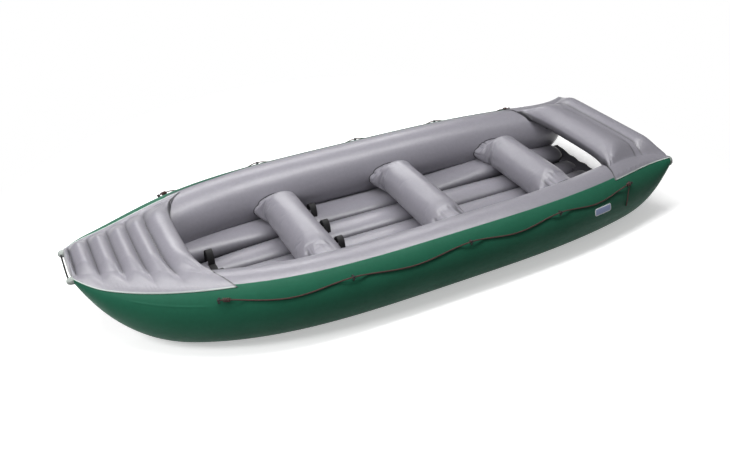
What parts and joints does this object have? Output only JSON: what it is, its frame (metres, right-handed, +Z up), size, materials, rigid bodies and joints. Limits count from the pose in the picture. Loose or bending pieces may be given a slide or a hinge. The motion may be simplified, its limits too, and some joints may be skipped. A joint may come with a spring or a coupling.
{
  "type": "inflatable raft",
  "caption": "Inflatable river raft: upswept side tubes, ribbed bow deck, stern deck, cross seats, channelled floor, grab lines, foot loops and air valves.",
  "frame": {"origin": "centre of the flat bottom, on the ground under the hull", "axes": "+X from the bow to the stern, +Y to the right of a person who looks forward from the stern, which is starboard, +Z up"},
  "size_m": [4.5196, 1.83, 0.5402],
  "materials": {
    "black_moulded_plastic": "moulded, satin",
    "black_webbing": "woven, matte",
    "green_coated_fabric": "satin, faint fabric texture",
    "grey_coated_fabric": "satin, faint fabric texture",
    "pale_grey_rubber": "matte",
    "pale_label_film": "printed film, blank",
    "red_brown_rope": "braided, matte"
  },
  "bodies": {
    "raft": {"bow_deck": "grey_coated_fabric", "bow_foot_strap": "black_webbing", "floor_bottom_sheet": "green_coated_fabric", "floor_tube_1": "grey_coated_fabric", "floor_tube_2": "grey_coated_fabric", "floor_tube_3": "grey_coated_fabric", "floor_tube_4": "grey_coated_fabric", "floor_valve": "black_moulded_plastic", "foot_loop_1": "black_webbing", "foot_loop_2": "black_webbing", "foot_loop_3": "black_webbing", "foot_loop_4": "black_webbing", "front_thwart": "grey_coated_fabric", "front_thwart_valve": "black_moulded_plastic", "label_patch": "pale_label_film", "middle_thwart": "grey_coated_fabric", "middle_thwart_valve": "black_moulded_plastic", "port_bow_end_cap": "pale_grey_rubber", "port_bow_foot_loop": "black_webbing", "port_bow_line_knot": "red_brown_rope", "port_grab_line": "red_brown_rope", "port_hull_skin": "green_coated_fabric", "port_line_anchor_1": "black_webbing", "port_line_anchor_2": "black_webbing", "port_line_anchor_3": "black_webbing", "port_line_anchor_4": "black_webbing", "port_line_anchor_5": "black_webbing", "port_line_tail": "red_brown_rope", "port_side_tube": "grey_coated_fabric", "port_stern_end_cap": "pale_grey_rubber", "port_stern_line_knot": "red_brown_rope", "port_tube_valve": "black_moulded_plastic", "rear_thwart": "grey_coated_fabric", "rear_thwart_valve": "black_moulded_plastic", "starboard_bow_end_cap": "pale_grey_rubber", "starboard_bow_foot_loop": "black_webbing", "starboard_bow_line_knot": "red_brown_rope", "starboard_grab_line": "red_brown_rope", "starboard_hull_skin": "green_coated_fabric", "starboard_line_anchor_1": "black_webbing", "starboard_line_anchor_2": "black_webbing", "starboard_line_anchor_3": "black_webbing", "starboard_line_anchor_4": "black_webbing", "starboard_line_anchor_5": "black_webbing", "starboard_line_tail": "red_brown_rope", "starboard_side_tube": "grey_coated_fabric", "starboard_stern_end_cap": "pale_grey_rubber", "starboard_stern_line_knot": "red_brown_rope", "starboard_tube_valve": "black_moulded_plastic", "stern_deck": "grey_coated_fabric"},
    "port_tube_cap": {"port_tube_valve_cap": "black_moulded_plastic"},
    "starboard_tube_cap": {"starboard_tube_valve_cap": "black_moulded_plastic"},
    "floor_cap": {"floor_valve_cap": "black_moulded_plastic"},
    "front_thwart_cap": {"front_thwart_valve_cap": "black_moulded_plastic"},
    "middle_thwart_cap": {"middle_thwart_valve_cap": "black_moulded_plastic"},
    "rear_thwart_cap": {"rear_thwart_valve_cap": "black_moulded_plastic"},
    "port_tube_plunger": {"port_tube_valve_plunger": "black_moulded_plastic"},
    "starboard_tube_plunger": {"starboard_tube_valve_plunger": "black_moulded_plastic"},
    "floor_plunger": {"floor_valve_plunger": "black_moulded_plastic"},
    "bow_handle": {"bow_handle": "black_webbing"}
  },
  "joints": [
    {"name": "port_tube_cap_hinge", "type": "hinge", "parent": "raft", "child": "port_tube_cap", "pos_m": [1.86786, -0.37488, 0.32459], "axis": [-0.9985, 0.0047, -0.0552], "range_deg": [0, 110]},
    {"name": "starboard_tube_cap_hinge", "type": "hinge", "parent": "raft", "child": "starboard_tube_cap", "pos_m": [1.86786, 0.37488, 0.32459], "axis": [0.9985, 0.0047, 0.0552], "range_deg": [0, 110]},
    {"name": "floor_cap_hinge", "type": "hinge", "parent": "raft", "child": "floor_cap", "pos_m": [-1.5115, 0.08082, 0.12224], "axis": [0, -1, 0], "range_deg": [0, 110]},
    {"name": "front_thwart_cap_hinge", "type": "hinge", "parent": "raft", "child": "front_thwart_cap", "pos_m": [-0.54715, 0.25162, 0.1785], "axis": [0, 1, 0], "range_deg": [0, 110]},
    {"name": "middle_thwart_cap_hinge", "type": "hinge", "parent": "raft", "child": "middle_thwart_cap", "pos_m": [0.45285, 0.26802, 0.1785], "axis": [0, 1, 0], "range_deg": [0, 110]},
    {"name": "rear_thwart_cap_hinge", "type": "hinge", "parent": "raft", "child": "rear_thwart_cap", "pos_m": [1.45285, 0.22967, 0.1785], "axis": [0, 1, 0], "range_deg": [0, 110]},
    {"name": "port_tube_plunger_slide", "type": "slide", "parent": "raft", "child": "port_tube_plunger", "axis": [0.0236, -0.8658, -0.4999], "range_m": [0, 0.005], "stiffness_N_per_m": 300},
    {"name": "starboard_tube_plunger_slide", "type": "slide", "parent": "raft", "child": "starboard_tube_plunger", "axis": [0.0236, 0.8658, -0.4999], "range_m": [0, 0.005], "stiffness_N_per_m": 300},
    {"name": "floor_plunger_slide", "type": "slide", "parent": "raft", "child": "floor_plunger", "axis": [-0.0002, 0, -1], "range_m": [0, 0.005], "stiffness_N_per_m": 300},
    {"name": "bow_handle_hinge", "type": "hinge", "parent": "raft", "child": "bow_handle", "pos_m": [-2.26, 0, 0.464], "axis": [0, 1, 0], "range_deg": [-15, 110]}
  ]
}
